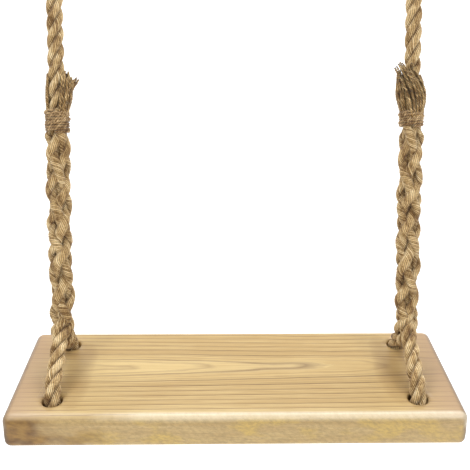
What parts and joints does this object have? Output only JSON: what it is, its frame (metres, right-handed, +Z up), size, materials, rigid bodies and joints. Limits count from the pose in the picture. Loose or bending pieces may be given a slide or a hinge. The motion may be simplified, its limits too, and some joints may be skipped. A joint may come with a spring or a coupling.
{
  "type": "plank swing",
  "caption": "Thick wooden plank swing seat hung on spliced hemp ropes with thimble eyes, snap hooks and ceiling plates; it swings, sways sideways and tips.",
  "frame": {"origin": "in the plane of the two ceiling plates' top faces, midway between them; the swing hangs below it", "axes": "+Z up, +Y towards the rear of the seat, +X to the right as seen from the front"},
  "size_m": [0.455, 0.1572, 0.6859],
  "materials": {
    "oiled_wood": "satin oiled, fine straight grain",
    "hemp_rope": "natural three-strand laid hemp",
    "hemp_twine": "natural hemp twine",
    "galvanised_steel": "zinc plated, dull",
    "bright_steel": "polished steel"
  },
  "bodies": {
    "ceiling": {"left_ceiling_plate": "galvanised_steel", "left_plate_bow": "galvanised_steel", "right_ceiling_plate": "galvanised_steel", "right_plate_bow": "galvanised_steel"},
    "left_hook": {"left_snap_hook": "bright_steel", "left_gate_pin": "galvanised_steel"},
    "left_gate": {"left_snap_gate": "bright_steel"},
    "left_rope": {"left_eye_thimble": "galvanised_steel", "left_eye_loop": "hemp_rope", "left_eye_whipping": "hemp_twine", "left_eye_splice": "hemp_rope", "left_standing_rope": "hemp_rope", "left_tail_fringe": "hemp_rope", "left_tail_whipping": "hemp_twine", "left_long_splice": "hemp_rope"},
    "right_hook": {"right_snap_hook": "bright_steel", "right_gate_pin": "galvanised_steel"},
    "right_gate": {"right_snap_gate": "bright_steel"},
    "right_rope": {"right_eye_thimble": "galvanised_steel", "right_eye_loop": "hemp_rope", "right_eye_whipping": "hemp_twine", "right_eye_splice": "hemp_rope", "right_standing_rope": "hemp_rope", "right_tail_fringe": "hemp_rope", "right_tail_whipping": "hemp_twine", "right_long_splice": "hemp_rope"},
    "left_throat": {"left_rope_throat": "hemp_rope"},
    "seat": {"seat_board": "oiled_wood", "left_front_leg": "hemp_rope", "left_under_run": "hemp_rope", "left_rear_leg": "hemp_rope", "right_front_leg": "hemp_rope", "right_under_run": "hemp_rope", "right_rear_leg": "hemp_rope", "right_rope_throat": "hemp_rope"}
  },
  "joints": [
    {"name": "left_hook_swing", "type": "hinge", "parent": "ceiling", "child": "left_hook", "pos_m": [-0.183, 0, -0.023], "axis": [1, 0, 0], "range_deg": [-50, 50]},
    {"name": "left_rope_sway", "type": "hinge", "parent": "left_hook", "child": "left_rope", "pos_m": [-0.183, 0, -0.0967], "axis": [0, 1, 0], "range_deg": [-15, 15]},
    {"name": "left_gate_hinge", "type": "hinge", "parent": "left_hook", "child": "left_gate", "pos_m": [-0.183, -0.015, -0.0749], "axis": [-1, 0, 0], "range_deg": [0, 22], "stiffness_Nm_per_rad": 0.02, "springref_deg": -20.05},
    {"name": "right_hook_swing", "type": "hinge", "parent": "ceiling", "child": "right_hook", "pos_m": [0.183, 0, -0.023], "axis": [1, 0, 0], "range_deg": [-50, 50]},
    {"name": "right_rope_sway", "type": "hinge", "parent": "right_hook", "child": "right_rope", "pos_m": [0.183, 0, -0.0967], "axis": [0, 1, 0], "range_deg": [-15, 15]},
    {"name": "right_gate_hinge", "type": "hinge", "parent": "right_hook", "child": "right_gate", "pos_m": [0.183, -0.015, -0.0749], "axis": [-1, 0, 0], "range_deg": [0, 22], "stiffness_Nm_per_rad": 0.02, "springref_deg": -20.05},
    {"name": "rope_level", "type": "hinge", "parent": "left_rope", "child": "left_throat", "pos_m": [-0.183, 0, -0.572], "axis": [0, 1, 0], "range_deg": [-15, 15]},
    {"name": "seat_tilt", "type": "hinge", "parent": "left_throat", "child": "seat", "pos_m": [-0.183, 0, -0.572], "axis": [1, 0, 0], "range_deg": [-35, 15]}
  ],
  "couplings": [
    {"joint": "right_hook_swing", "follows": "left_hook_swing", "ratio": 1},
    {"joint": "right_rope_sway", "follows": "left_rope_sway", "ratio": 1},
    {"joint": "rope_level", "follows": "left_rope_sway", "ratio": -1}
  ]
}
